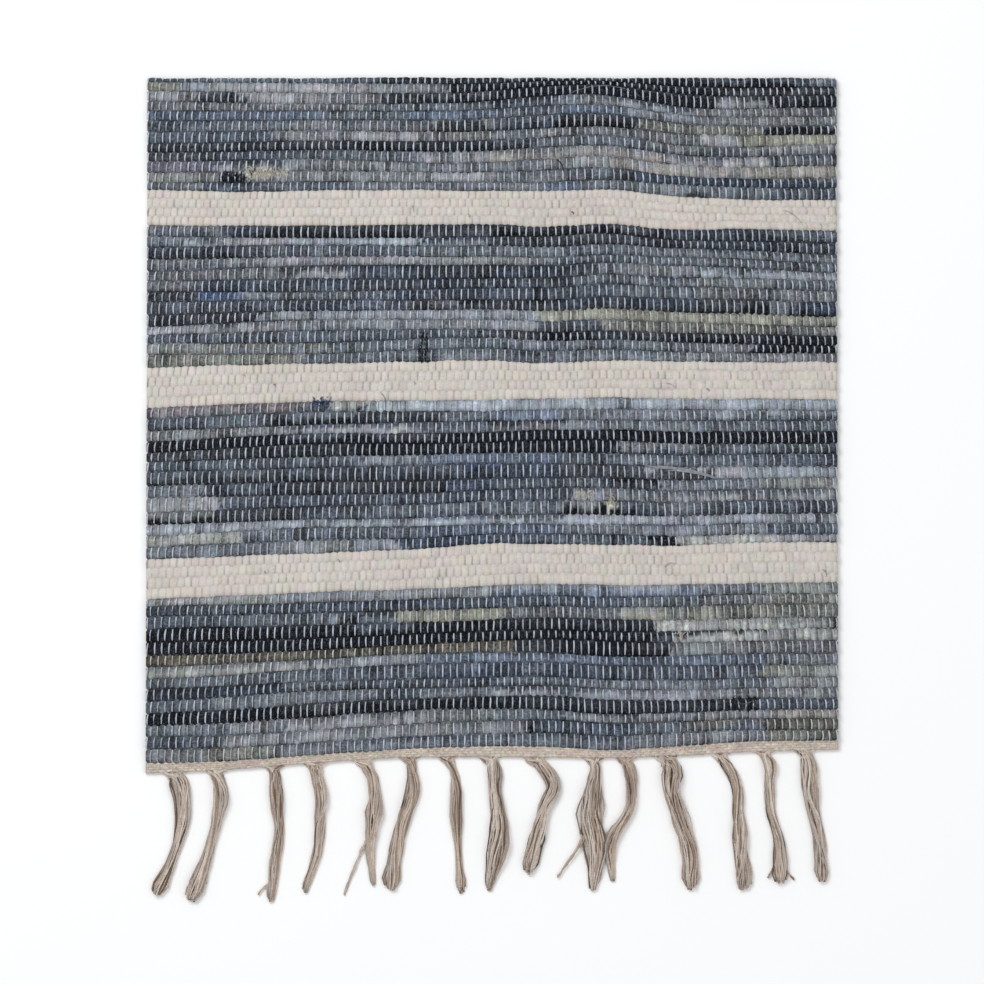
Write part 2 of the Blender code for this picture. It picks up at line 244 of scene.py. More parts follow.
# Tassels: shares of the length at neck, bulge, waist, belly, ankle and tip, as in the
# construction; one row a tassel.
STATIONS = (0.03, 0.11, 0.25, 0.45, 0.70, 1.0)
TASSEL_COLUMNS = (
    "x", "length", "bulge", "waist", "belly", "ankle", "tip", "w0", "w1", "w2", "w3", "w4", "w5"
)
TASSELS = (
    (-275, 107, 4, 6.5, 6.5, -0.5, -15, 11, 15, 14, 12, 8, 15),
    (-239, 114, 2, 3.5, -0.5, -9, -23, 9.5, 12, 15, 9.5, 11, 21),
    (-189, 118, 1, 2.5, 5, 2, -2, 8, 10, 12.5, 9.5, 11, 8),
    (-153, 113, 1, 5, 4.5, 2, -8.5, 11, 10.5, 12, 11, 9.5, 4),
    (-111, 110, 5.5, 9.5, 8.5, 5.5, 8, 10.5, 11.5, 11.5, 16, 10.5, 5),
    (-71, 117, 2, 2, -5, -12, -16.5, 8.5, 8.5, 12.5, 12, 11, 15.5),
    (-38.5, 118, 5, 7.5, 7, 9.5, 12, 8, 8, 10.5, 10.5, 7, 9),
    (-1.5, 117, 3.5, 3.5, 6.5, 6.5, -1, 9.5, 13, 12, 14, 17.5, 6),
    (37.5, 102, 7.5, 16, 8, 2.5, -5, 9, 11, 12.5, 11.5, 15, 14),
    (87.5, 115, 1.5, -0.5, -3, 1.5, -0.5, 9.5, 10.5, 17.5, 23.5, 20, 9.5),
    (116.5, 107, 1.5, 4.5, 1.5, -13, -12, 9, 12, 12, 12, 13, 5),
    (150, 116, 5.5, 5, 11.5, 20, 22.5, 10.5, 17, 15, 15, 15, 15.5),
    (197, 119, 7, 15, 16, 19, 20.5, 8, 9, 10, 11.5, 15, 15.5),
    (235.5, 115, 4.5, 4.5, 6, 13.5, 14, 8.5, 12.5, 9.5, 9, 11.5, 17),
    (271, 115, 2.5, 3.5, 6, 12.5, 14, 9, 12, 15.5, 11.5, 12, 15),
)
WISP_COLUMNS = ("tassel", "from", "to", "x_from", "x_to", "w_from", "w_to")
WISPS = (
    (4, 0.66, 1.07, 3, -16.5, 6.5, 3),
    (9, 0.60, 0.90, -9, -31.5, 9, 5),
)
# Smaller loose ends that lie against the tassels.
LOOSE_ENDS = (
    (1, 0.66, 0.88, -6, -9.5, 5, 7),
    (2, 0.86, 0.95, -3, -13, 3, 2),
    (12, 0.80, 0.98, 21, 28, 7, 5),
    (13, 0.84, 0.96, 10, 3, 5, 4),
    (13, 0.88, 0.99, 16, 26, 3, 2),
)
# Loose threads lying on the rug: where each starts and ends, how far it bows aside, its width.
THREAD_COLUMNS = ("x", "depth", "x_end", "depth_end", "bow", "width", "cloth")
THREADS = (
    (59, 19, 129, 15, 10, 0.5, "haze"),
    (133, 346, 199, 357.5, 2.9, 2.6, "dove"),
    (136, 347.5, 190, 355.5, 2.4, 1.8, "pearl"),
    (150, 349.5, 197, 358, 2, 1.4, "powder"),
    (-92, 380, -79, 411, -3, 0.5, "powder"),
    (55, 72, 62, 84, 2, 1.2, "ink"),
    (-69, 113.6, -68, 121.6, 0.4, 0.9, "dove"),
    (-21, 122, -19, 125, 0.2, 1, "dove"),
    (69, 119, 71, 122, 0.3, 1.3, "char"),
    (250, 118, 272, 137, 5, 0.5, "dove"),
    (-216, 264, -214, 267, 0.3, 0.8, "dove"),
    (-190, 273, -188, 275, 0.3, 0.9, "ash"),
    (-68, 271, -66, 274, 0.3, 0.8, "dove"),
    (150, 272, 159, 276, 1, 0.6, "dove"),
    (186, 277, 189, 279, 0.3, 1, "ash"),
    (-134, 428, -132, 431, 0.3, 1, "dove"),
    (-198, 439, -196, 441, 0.3, 0.8, "ash"),
    (-48, 444, -46, 447, 0.4, 0.8, "dove"),
    (150, 436, 160, 434, 3.5, 0.5, "dove"),
    (284, 437, 289, 446, 3.5, 0.6, "ash"),
    (-134, 287, -128, 289, 2.5, 0.7, "cream"),
    (-97, 280, -93, 295, 2.5, 0.7, "cobalt"),
    (-76.5, 641, -79, 648, 0.3, 1.2, "coal"),
    (207, 548, 226, 552, 4, 0.8, "ash"),
    (212, 556, 229, 550, -3, 0.7, "lead"),
)
# Patches of short fibres: where, how wide and deep, how many, how long, and of what.
FRAY_COLUMNS = ("x", "depth", "width", "reach", "count", "length", "cloth")
FRAYS = (
    (-197, 84, 36, 8, 90, 6, "cream"),
    (-222, 89, 26, 7, 60, 4.5, "ink"),
    (-148, 290, 16, 11, 60, 5, "cobalt"),
    (-60, 240, 9, 26, 80, 5, "ink"),
    (160, 485, 38, 9, 70, 6, "pearl"),
    (165, 496, 14, 5, 26, 5, "white"),
    (260, 483, 20, 8, 40, 6, "pearl"),
    (80, 371, 18, 6, 44, 4.5, "cream"),
    (103, 376, 4, 9, 16, 5, "cream"),
    (218, 556, 20, 12, 60, 5, "ink"),
    (178, 104, 14, 3, 24, 5, "char"),
    (-255, 377, 40, 6, 40, 6, "pearl"),
    (-240, 409, 40, 5, 40, 6, "pearl"),
)

FLOOR_GAP = 0.02  # nothing lies lower than this over the floor


# ---- small tools

def linear(code):
    """A #rrggbb colour as linear RGB."""
    parts = np.array([int(code[i : i + 2], 16) / 255 for i in (1, 3, 5)])
    return np.where(parts <= 0.04045, parts / 12.92, ((parts + 0.055) / 1.055) ** 2.4)


def ramp(value, low, high):
    """0 up to low, 1 from high on and straight between; the other way round if low is higher."""
    return np.clip((value - low) / (high - low), 0, 1)


def smooth(stations, values, at):
    """A cubic through the stations' values whose slope at each station is its neighbours'."""
    stations = np.asarray(stations, float)
    values = np.asarray(values, float)
    slopes = np.gradient(values, stations)
    k = np.clip(np.searchsorted(stations, at, side="right") - 1, 0, len(stations) - 2)
    span = stations[k + 1] - stations[k]
    t = np.clip((at - stations[k]) / span, 0.0, 1.0)
    hold = 2 * t**3 - 3 * t**2 + 1
    return (
        hold * values[k]
        + (1 - hold) * values[k + 1]
        + (t**3 - 2 * t**2 + t) * span * slopes[k]
        + (t**3 - t**2) * span * slopes[k + 1]
    )


def wander(rng, at, step):
    """Smooth noise of about -1 to 1 along at, with a new value every step."""
    knots = np.arange(np.min(at) - 2 * step, np.max(at) + 3 * step, step)
    return smooth(knots, rng.uniform(-1, 1, len(knots)), np.asarray(at, float))


def waves(rng, at, terms):
    """The sum of several wanders, each given by its amount and its step."""
    return sum(amount * wander(rng, at, step) for amount, step in terms)


def tint_along(rng, at, steps):
    """Wanders for red, green and blue, each with its own step."""
    return np.stack([wander(rng, at, step) for step in steps], axis=-1)


def uneven_yarn(rng, shape, amount):
    """Factors around 1 for a yarn's thickness, with the rare extremes held in."""
    return 1 + amount * rng.normal(size=shape).clip(-1.5, 1.5)


def band_depth(name, x):
    column = BAND_COLUMNS.index(name)
    return smooth([row[0] for row in BAND_EDGES], [row[column] for row in BAND_EDGES], x)


def row_bounds(band, x):
    """Depths of the rows' edges in a band at each x: one more line than there are rows."""
    _, first, last, rows, _ = band
    heights = np.array([smooth(ROW_STATIONS, row[1], x) for row in rows])
    shares = np.vstack([np.zeros_like(x), np.cumsum(heights, axis=0)]) / heights.sum(axis=0)
    start = band_depth(first, x)
    return start + shares * (band_depth(last, x) - start)


def warp_x(numbers):
    return (numbers + 0.5) * WARP_PITCH - HALF_WIDTH


def ring_faces(count, steps, sides):
    """Quads of closed tubes whose points are ordered tube, step, side. Sides is even."""
    step = np.arange(steps - 1)[:, None]
    side = np.arange(sides)[None, :]
    following = (side + 1) % sides
    here, there = step * sides, (step + 1) * sides
    wall = np.stack([here + side, here + following, there + following, there + side], axis=-1)
    half = np.arange(sides // 2 - 1)
    cap = np.stack([half, sides - 1 - half, sides - 2 - half, half + 1], axis=-1)
    end = (steps - 1) * sides + cap[:, ::-1]
    one = np.vstack([wall.reshape(-1, 4), cap, end])
    starts = np.arange(count)[:, None, None] * steps * sides
    return (one[None] + starts).reshape(-1, 4)


def piece(name, slot, points, colours):
    """A mesh object of closed tubes, from their points in millimetres and the points' linear
    colours, both ordered tube, step, side."""
    faces = ring_faces(*points.shape[:3])
    vertices = points.reshape(-1, 3)
    mesh = bpy.data.meshes.new(name)
    mesh.vertices.add(len(vertices))
    mesh.vertices.foreach_set("co", (vertices * MM).astype(np.float32).ravel())
    mesh.loops.add(faces.size)
    mesh.loops.foreach_set("vertex_index", faces.astype(np.int32).ravel())
    mesh.polygons.add(len(faces))
    mesh.polygons.foreach_set("loop_start", np.arange(0, faces.size, 4, dtype=np.int32))
    mesh.update(calc_edges=True)
    mesh.validate()
    layer = mesh.attributes.new("yarn", "FLOAT_COLOR", "POINT")
    opaque = np.ones((len(vertices), 4), np.float32)
    opaque[:, :3] = colours.reshape(-1, 3)
    layer.data.foreach_set("color", opaque.ravel())
    mesh.materials.append(FINISHES[slot])
    mesh.shade_smooth()
    made = bpy.data.objects.new(name, mesh)
    bpy.context.scene.collection.objects.link(made)
    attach(made, "root")
    return made


ACROSS = np.array([1.0, 0.0, 0.0])
UPWARD = np.array([0.0, 0.0, 1.0])
YARN_SIDES = 4
EVEN_SHADE = np.ones(YARN_SIDES)


def yarns(name, slot, paths, widths, heights, colours, level=ACROSS, phase=0.5, shade=EVEN_SHADE):
    """One piece of yarns along paths (yarn, step, 3), kept level with a direction. The widths and
    heights are half ones; the shade is a factor for the colour of each side, which paints light and
    shade round the yarn."""
    along = np.gradient(paths, axis=1)
    along /= np.linalg.norm(along, axis=2, keepdims=True)
    up = np.cross(np.broadcast_to(level, along.shape), along)
    up /= np.maximum(np.linalg.norm(up, axis=2, keepdims=True), 1e-9)
    side = np.cross(along, up)
    turn = ((np.arange(YARN_SIDES) + phase) * 2 * math.pi / YARN_SIDES)[None, None, :, None]
    points = (
        paths[:, :, None, :]
        + widths[:, :, None, None] * np.cos(turn) * side[:, :, None, :]
        + heights[:, :, None, None] * np.sin(turn) * up[:, :, None, :]
    )
    points[..., 2] = np.maximum(points[..., 2], FLOOR_GAP)
    return piece(name, slot, points, colours[:, :, None, :] * shade[:, None])


# ---- finishes

NOISE_LOW, NOISE_HIGH = 0.3, 0.7  # where most of a noise's values lie
LINT = linear("#9aa0a6")
LINT_FROM, LINT_FULL = 0.56, 0.72  # the noise's values where lint begins, and where it is densest
FIBRE_STRETCH = (0.16, 0.9, 0.9)  # long fibres lie along the rows
WORN_PATCHES = 90.0  # to a metre
PALE_FROM, PALE_FULL = 0.07, 0.30  # grey levels between which a cloth's unevenness settles
TWILL_SCALE = 330.0
BUMP_DISTANCE = 0.0004


class Graph:
    """A few words for building a material's nodes."""

    def __init__(self, name, roughness, specular):
        self.material = bpy.data.materials.new(name)
        self.material.use_nodes = True
        self.tree = self.material.node_tree
        self.shader = self.tree.nodes["Principled BSDF"]
        self.shader.inputs["Roughness"].default_value = roughness
        self.shader.inputs["Specular IOR Level"].default_value = specular

    def node(self, kind, settings=None, **inputs):
        """A new node. An input called i2 is the node's third; any other goes by its own name."""
        made = self.tree.nodes.new(kind)
        for key, value in (settings or {}).items():
            setattr(made, key, value)
        for key, value in inputs.items():
            number = key[1:]
            self.feed(made.inputs[int(number) if number.isdigit() else key], value)
        return made

    def feed(self, socket, value):
        if isinstance(value, bpy.types.NodeSocket):
            self.tree.links.new(value, socket)
        else:
            socket.default_value = value

    def noise(self, place, scale, detail=2.0, roughness=0.55, stretch=(1, 1, 1)):
        mapping = self.node("ShaderNodeMapping", i0=place, i3=[scale * s for s in stretch])
        place = mapping.outputs[0]
        return self.node(
            "ShaderNodeTexNoise", Vector=place, Scale=1.0, Detail=detail, Roughness=roughness
        ).outputs["Fac"]

    def spread(self, value, low, high, into_low, into_high):
        return self.node(
            "ShaderNodeMapRange", i0=value, i1=low, i2=high, i3=into_low, i4=into_high
        ).outputs[0]

    def around_one(self, noise, amount):
        return self.spread(noise, NOISE_LOW, NOISE_HIGH, 1 - amount, 1 + amount)

    def maths(self, operation, first, second, third=0.0):
        return self.node(
            "ShaderNodeMath", {"operation": operation}, i0=first, i1=second, i2=third
        ).outputs[0]


def cloth_finish(name, grain, speckle, blotch, streak, wear, bump, flecks=0.0, settle=1.0):
    """Cloth or yarn coloured by its strips, with speckled threads, blotches, streaks, fading, pale
    flecks and a bump. Grain is the threads' number to a metre; settle is the share of the
    unevenness that the palest cloths keep."""
    graph = Graph(name, roughness=0.95, specular=0.12)
    place = graph.node("ShaderNodeTexCoord").outputs["Object"]
    yarn = graph.node("ShaderNodeAttribute", {"attribute_name": "yarn"}).outputs["Color"]
    fine = graph.noise(place, grain, detail=3.0)
    fibres = graph.noise(place, grain, stretch=FIBRE_STRETCH)
    patches = graph.noise(place, WORN_PATCHES, detail=3.0)
    clumps = graph.noise(place, 0.4 * grain, detail=1.0)
    light = graph.around_one(fine, speckle)
    for noise, amount in ((fibres, streak), (patches, wear), (clumps, blotch)):
        light = graph.maths("MULTIPLY", light, graph.around_one(noise, amount))
    grey = graph.node("ShaderNodeRGBToBW", i0=yarn).outputs[0]
    share = graph.spread(grey, PALE_FROM, PALE_FULL, 1.0, settle)
    uneven = graph.maths("SUBTRACT", light, 1.0)
    light = graph.maths("MULTIPLY_ADD", uneven, share, 1.0)
    colour = graph.node(
        "ShaderNodeVectorMath", {"operation": "SCALE"}, i0=yarn, i3=light
    ).outputs[0]
    lint = graph.noise(place, 0.8 * grain, roughness=0.7)
    pale = graph.spread(lint, LINT_FROM, LINT_FULL, 0.0, flecks)
    flecked = graph.node(
        "ShaderNodeMix", {"data_type": "RGBA"}, i0=pale, i6=colour, i7=(*LINT, 1.0)
    ).outputs[2]
    graph.feed(graph.shader.inputs["Base Color"], flecked)
    twill = graph.node(
        "ShaderNodeTexWave", {"wave_type": "BANDS", "bands_direction": "DIAGONAL"},
        Vector=place, Scale=TWILL_SCALE, Distortion=2.0, Detail=1.0,
    ).outputs["Fac"]
    height = graph.maths("ADD", twill, fine)
    raised = graph.node("ShaderNodeBump", Strength=bump, Distance=BUMP_DISTANCE, Height=height)
    graph.feed(graph.shader.inputs["Normal"], raised.outputs[0])
    return graph.material


def floor_finish():
    graph = Graph("studio_floor", roughness=0.9, specular=0.1)
    place = graph.node("ShaderNodeTexCoord").outputs["Object"]
    cloud = graph.noise(place, 1.5)
    level = graph.spread(cloud, NOISE_LOW, NOISE_HIGH, 0.985, 0.99)
    grey = graph.node("ShaderNodeCombineColor", i0=level, i1=level, i2=level).outputs[0]
    graph.feed(graph.shader.inputs["Base Color"], grey)
    return graph.material


# ---- rag rows

# A rag row's section, point by point: sideways and up, as shares of its half width and half
# height, and how much it takes of the near gap's painted shade, of the far gap's painted shade and
# of the frayed rim.
ROW_SECTION = np.array(
    [
        (1, 0, 1, 0, 0),
        (0.80, 0.72, 0.48, 0, 0),
        (0.26, 1, 0, 0, 0),
        (-0.26, 1, 0, 0, 0),
        (-0.80, 0.72, 0, 0.4, 0.68),
        (-1, 0, 0, 1, 1),
        (-0.55, -0.95, 0, 0, 0.28),
        (0.55, -0.95, 0, 0, 0),
    ]
)
SIDE, UP, NEAR_GAP_PAINTED_SHADE, FAR_GAP_PAINTED_SHADE, RIM = ROW_SECTION.T
POINTS = len(ROW_SECTION)
FLOOR_MID = 0.95  # mean height of a rag row's underside
WIDEST_OUTER = 1.10  # how wide a band's outermost row may be against its space, on its outer side
SIDE_ROUNDING = 2.4  # how far from the rug's side a row's end begins to round off
SIDE_THIN = 0.12  # share of its height that it keeps at the very side
BETWEEN_WARPS = 0.42  # share of the swing that a row's top and underside have between warps
PINCHED, PUFFED = 0.985, 1.03  # how wide a row is under a warp, and elsewhere

# How a row varies along it, as pairs of an amount and the millimetres from one value to the next.
ROW_DRIFT = ((0.40, 7.0), (0.35, 24.0))
ROW_PUFF = ((0.08, 30.0),)
ROW_LIFT = ((0.20, 18.0),)
ROW_TILT = ((0.28, 24.0),)
ROW_CREASE = ((0.14, 5.0),)
FOLD = ((0.6, 16.0), (0.3, 5.0))
FOLD_CRISP = 2.2
SHADE = ((0.18, 26.0), (0.32, 6.0))
SPLIT = ((0.32, 9.0),)  # a difference between its far and its near side
FRAYED = ((0.8, 17.0), (0.4, 3.0))
# Painted shade in the gaps between rows, and how it varies along them.
PAINTED_GAP_SHADE = ((0.48, 3.5), (0.40, 13.0))

STRIP_TONE = 0.08  # how much strips of one cloth differ
CELL_TONE = 0.17  # how much the bits of a row between warps differ
END_SHIFT = 2.0  # how far a strip's end may lie from the listed x
END_SLANT = 6.0  # how far the end may slant
END_RAGS = 3.0  # how far its torn outline goes to and fro
RAG_STEP = 4.0
END_FIBRES = 2.2  # how far single fibres go
TINT_STEPS = (7.0, 9.0, 8.0)
TINT = 0.034
DENIM_TINT = 0.008  # what denim has on top
FRAY = linear("#9aa0a8")  # the pale threads of a torn denim edge
FRAY_COVER = 0.32
# Painted shade in the gaps between rows: its mean and its most, and how much the far gap takes.
PAINTED_GAP_SHADE_MEAN, PAINTED_GAP_SHADE_MOST = 0.37, 0.95
FAR_GAP_PAINTED_SHADE_AMOUNT = 0.25
# Painted light and shade: the near side of a row is painted lighter and the far side darker.
NEAR_SIDE_PAINTED_LIGHT = 0.20  # how much lighter the near side is, and the far side darker
ROW_LIGHT = 0.06
# Painted shade where a warp crosses over a denim row and presses it down.
PRESSED_SHADE = 0.40  # how much darker a denim row is where a warp presses it down


def strip_table(strips):
    """A row's strips as colours of the far and the near half of each, and the x where each ends."""
    words = strips.split()
    halves = [(word.split("/") * 2)[:2] for word in words[0::2]]
    far, near = (np.array([linear(CLOTHS[pair[k]]) for pair in halves]) for k in (0, 1))
    return far, near, np.array([float(word) for word in words[1::2]])


def strip_at(rng, ends):
    """The number of the strip at each x and section point, with slanting, ragged ends."""
    edge = ends + rng.uniform(-END_SHIFT, END_SHIFT, len(ends))
    slant = rng.uniform(-END_SLANT, END_SLANT, len(ends))[:, None, None] * SIDE
    ragged = END_RAGS * wander(rng, ROW_X, RAG_STEP)[:, None]
    ragged = ragged + END_FIBRES * rng.normal(size=(len(ROW_X), POINTS))
    past = ROW_X[None, :, None] + ragged[None] > edge[:, None, None] + slant
    return past.sum(axis=0).clip(0, len(ends) - 1)


def strip_colours(rng, strips, uneven):
    """Linear colour at each x and section point of a row: its strips, folds, wear, frayed rim,
    the painted shade of the gaps beside it, and a painted lighter near side and darker far side.
    Uneven is 1 for denim and near 0 for an even cloth."""
    x = ROW_X
    far, near, ends = strip_table(strips)
    tone = rng.uniform(1 - STRIP_TONE * uneven, 1 + STRIP_TONE * uneven, len(ends))[:, None]
    index = strip_at(rng, ends)
    fold = waves(rng, x, FOLD)
    under = np.clip((SIDE - fold[:, None]) * FOLD_CRISP + 0.5, 0, 1)[:, :, None]
    colour = (1 - under) * (far * tone)[index] + under * (near * tone)[index]
    cell = rng.normal(0, CELL_TONE, WARPS + 1)[WARP_NUMBER]
    shade = 1 + uneven * (waves(rng, x, SHADE) + cell)
    split = 1 + uneven * waves(rng, x, SPLIT)[:, None] * SIDE
    colour = colour * (shade[:, None] * split)[:, :, None]
    tint = tint_along(rng, x, TINT_STEPS)[:, None, :]
    colour = colour * (1 + (TINT + DENIM_TINT * uneven) * tint)
    rim = np.clip(waves(rng, x, FRAYED), 0, 1)[:, None]
    rim = (FRAY_COVER * uneven * rim * RIM)[:, :, None]
    colour = colour * (1 - rim) + rim * FRAY
    # Painted shade in the gaps between rows, then a painted lighter near side and darker far side.
    gap_painted_shade = (PAINTED_GAP_SHADE_MEAN + waves(rng, x, PAINTED_GAP_SHADE)).clip(0, PAINTED_GAP_SHADE_MOST)[:, None]
    painted_light_and_shade = 1 - uneven * (gap_painted_shade * NEAR_GAP_PAINTED_SHADE + FAR_GAP_PAINTED_SHADE_AMOUNT * FAR_GAP_PAINTED_SHADE)
    painted_light_and_shade = painted_light_and_shade * (1 + uneven * (ROW_LIGHT + NEAR_SIDE_PAINTED_LIGHT * SIDE))
    return colour * painted_light_and_shade[:, :, None]


def rag_rows(band, first_row):
    """One mesh of a band's rows, each a flattened tube pressed down wherever a warp crosses it."""
    name, _, _, rows, slot = band
    fill = FILLS[slot]
    rng = np.random.default_rng(100 + first_row)
    x = ROW_X
    bounds = row_bounds(band, x)
    end = ramp(HALF_WIDTH - np.abs(x), 0, SIDE_ROUNDING)
    end = np.sqrt(1 - (1 - end) ** 2).clip(SIDE_THIN, 1)
    points, colours = [], []
    for i, (strips, _) in enumerate(rows):
        middle = (bounds[i + 1] + bounds[i]) / 2 + waves(rng, x, ROW_DRIFT)
        half = (bounds[i + 1] - bounds[i]) / 2
        under_warp = AT_WARP & ((WARP_NUMBER + first_row + i) % 2 == 0)
        bend = np.where(under_warp, -1.0, 1.0)
        puff = np.where(under_warp, PINCHED, PUFFED) * (1 + waves(rng, x, ROW_PUFF))
        top = fill["crown"] + fill["swing"] * np.where(AT_WARP, bend, BETWEEN_WARPS)
        top = top + waves(rng, x, ROW_LIFT)
        low = FLOOR_MID + fill["swing"] * np.where(AT_WARP, bend, -BETWEEN_WARPS)
        centre = (top + low) / 2
        tilt = waves(rng, x, ROW_TILT)
        ring = []
        for side, up in zip(SIDE, UP):
            outer = (i == 0 and side < 0) or (i == len(rows) - 1 and side > 0)
            reach = min(fill["spread"], WIDEST_OUTER) if outer else fill["spread"]
            level = top if up > 0 else low
            crease = (waves(rng, x, ROW_CREASE) + tilt * side) * (up > 0.5)
            z = centre + ((level - centre) * abs(up) + crease) * end
            depth = middle + half * side * reach * puff * (0.6 + 0.4 * end)
            ring.append(np.stack([x, FAR_Y - depth, np.maximum(z, FLOOR_GAP)], axis=-1))
        points.append(np.stack(ring, axis=1))
        shades = strip_colours(rng, strips, fill["uneven"])
        # Painted shade where a warp lies over the row.
        shades[under_warp] *= 1 - PRESSED_SHADE * fill["uneven"]
        colours.append(shades)
    return piece(name, slot, np.array(points), np.array(colours))


# ---- warp

WARP_HALF_WIDTH = 0.87
WARP_HALF_HEIGHT = 0.58
WARP_LIFT = 4.85  # height of a warp's middle where it lies over a denim row
LEAN = 0.85  # how far a warp slants across a row at the rug's side
BOW = 0.90  # how far it bows there
LEAN_SPREAD = 0.34  # how much single warps differ in their slant
BOW_SPREAD = 0.20  # and in their bow
CROSSING_SPREAD = 0.4  # and in where they pass between two rows
DRIFT = ((0.38, 4.0),)  # how a warp strays sideways: millimetres, every so many rows
WARP_TONES = (0.70, 1.14)
# Painted shade on the warps where they pass down between two rows.
CROSSING_SHADE = 0.82  # how light they are between two rows
RUBBED_OFF = 0.3  # how strongly a row's cloth tints the warps

# A warp's points on its way across a row: share of the way, height, bow and thickness.
WARP_STEPS = (
    (0.0, 0.0, 0.0, 0.5),
    (0.14, 0.84, 0.6, 0.82),
    (0.5, 1.0, 1.0, 1.1),
    (0.86, 0.84, 0.6, 0.82),
)


def cloth_tint(strips, x):
    """How a row's cloths tint the warps that cross it: their colour over their own grey."""
    far, near, ends = strip_table(strips)
    colour = ((far + near) / 2)[np.searchsorted(ends, x).clip(0, len(ends) - 1)]
    return (colour / colour.mean(axis=1, keepdims=True)) ** RUBBED_OFF


def warp_threads(name, first, count):
    """Warp threads from first on: over one row, under the next, all the way down the rug."""
    rng = np.random.default_rng(500 + first)
    numbers = np.arange(first, first + count)
    x = warp_x(numbers)
    edges = np.vstack([row_bounds(band, x)[:-1] for band in BANDS] + [band_depth("end", x)[None]])
    cloths = [(strips, FILLS[band[4]]) for band in BANDS for strips, _ in band[3]]
    rows = len(cloths)
    drift = np.array([waves(rng, np.arange(rows), DRIFT) for _ in numbers]).T
    paths = np.zeros((count, rows, len(WARP_STEPS), 3))
    colours = np.zeros((count, rows, len(WARP_STEPS), 3))
    for row, (strips, fill) in enumerate(cloths):
        turn = np.where((numbers + row) % 2 == 0, 1.0, -1.0)
        lean = turn * LEAN * x / HALF_WIDTH + rng.normal(0, LEAN_SPREAD, count)
        bulge = turn * BOW * x / HALF_WIDTH + rng.normal(0, BOW_SPREAD, count)
        height = edges[row + 1] - edges[row]
        lifted = WARP_LIFT - TOP / 2 + 0.2 * (fill["crown"] - FILLS["denim_rag"]["crown"])
        tone = rng.uniform(*WARP_TONES, count)[:, None] * linear(fill["warp"])
        tone = tone * cloth_tint(strips, x)
        for k, (share, lift, bow, _) in enumerate(WARP_STEPS):
            paths[:, row, k, 0] = x + bulge * bow + lean * (share - 0.5) + drift[row]
            paths[:, row, k, 1] = FAR_Y - edges[row] - share * height
            paths[:, row, k, 2] = TOP / 2 + turn * lifted * lift
            colours[:, row, k] = tone
        paths[:, row, 0, 1] += rng.normal(0, CROSSING_SPREAD, count)
        # Painted shade at the crossing between two rows.
        colours[:, row, 0] *= CROSSING_SHADE
    paths = paths.reshape(count, -1, 3)
    last = np.stack([x, FAR_Y - edges[-1] - 1.0, np.full(count, TOP / 2)], axis=-1)[:, None]
    paths = np.concatenate([paths, last], axis=1)
    colours = colours.reshape(count, -1, 3)
    colours = np.concatenate([colours, colours[:, -1:]], axis=1)
    slim = [step[3] for step in WARP_STEPS]
    thick = uneven_yarn(rng, paths.shape[:2], 0.10) * np.array(slim * rows + slim[:1])
    wide, high = WARP_HALF_WIDTH * thick, WARP_HALF_HEIGHT * thick
    return yarns(name, "warp_cotton", paths, wide, high, colours)


# ---- heading

HEADING_PICKS = 4
HEADING_TOP = 3.7
HEADING_COTTON = linear("#cbbeb3")
PICK_MIDDLE = 0.45  # how far below the heading's top a pick's own mean top lies
PICK_SWING = 0.30
PICK_LIFT = ((0.12, 12.0),)
PICK_OVERLAP = 1.25
PICK_TONE = ((0.10, 9.0), (0.16, 1.9))
PICK_TINT_STEPS = (6.0, 9.0, 5.0)
PICK_TINT = 0.06
NEAR_EDGE_WAVE = ((0.3, 3.2),)
STITCH_HIGH, STITCH_LEVEL, STITCH_LOW = 0.25, 0.75, 1.6  # below the heading's top
STITCH_RADIUS = 0.62


def heading_picks():
    """The cotton picks beaten up behind the last rag row."""
    rng = np.random.default_rng(900)
    x = ROW_X
    start, stop = band_depth("end", x), band_depth("heading", x)
    points, colours = [], []
    for i in range(HEADING_PICKS):
        far = start + i / HEADING_PICKS * (stop - start)
        near = start + (i + 1) / HEADING_PICKS * (stop - start)
        middle, half = (near + far) / 2, (near - far) / 2 * PICK_OVERLAP
        if i == HEADING_PICKS - 1:
            middle = middle + waves(rng, x, NEAR_EDGE_WAVE)
        bend = np.where((WARP_NUMBER + i) % 2 == 0, -1.0, 1.0)
        swing = np.where(AT_WARP, bend, 0.3)
        top = HEADING_TOP - PICK_MIDDLE + PICK_SWING * swing + waves(rng, x, PICK_LIFT)
        ring = []
        for side, up in zip(SIDE, UP):
            z = (top + 0.1) / 2 + (top - 0.1) / 2 * up
            ring.append(np.stack([x, FAR_Y - middle - half * side, z], axis=-1))
        points.append(np.stack(ring, axis=1))
        tone = 1 + waves(rng, x, PICK_TONE)
        tint = 1 + PICK_TINT * tint_along(rng, x, PICK_TINT_STEPS)
        shade = HEADING_COTTON * tone[:, None] * tint
        colours.append(np.repeat(shade[:, None, :], POINTS, axis=1))
    return piece("heading_picks", "cotton_heading", np.array(points), np.array(colours))


def heading_warps():
    """The warps' short stitches over the heading's picks, one at each pick that they cross."""
    rng = np.random.default_rng(901)
    numbers = np.arange(WARPS)
    x = warp_x(numbers)
    start, stop = band_depth("end", x), band_depth("heading", x)
    steps = 2 * HEADING_PICKS + 1
    share = np.linspace(-0.1, 0.97, steps)
    paths = np.zeros((WARPS, steps, 3))
    for k in range(steps):
        over = (numbers + k // 2) % 2 == 0
        below = np.where(over, STITCH_HIGH, STITCH_LOW) if k % 2 else STITCH_LEVEL
        paths[:, k, 0] = x + rng.normal(0, 0.25, WARPS)
        paths[:, k, 1] = FAR_Y - start - share[k] * (stop - start)
        paths[:, k, 2] = HEADING_TOP - below
    thick = STITCH_RADIUS * uneven_yarn(rng, (WARPS, steps), 0.12)
    colours = HEADING_COTTON * rng.uniform(0.80, 1.15, (WARPS, steps, 1))
    return yarns("heading_warps", "cotton_heading", paths, thick, 0.6 * thick, colours)


# ---- tassels

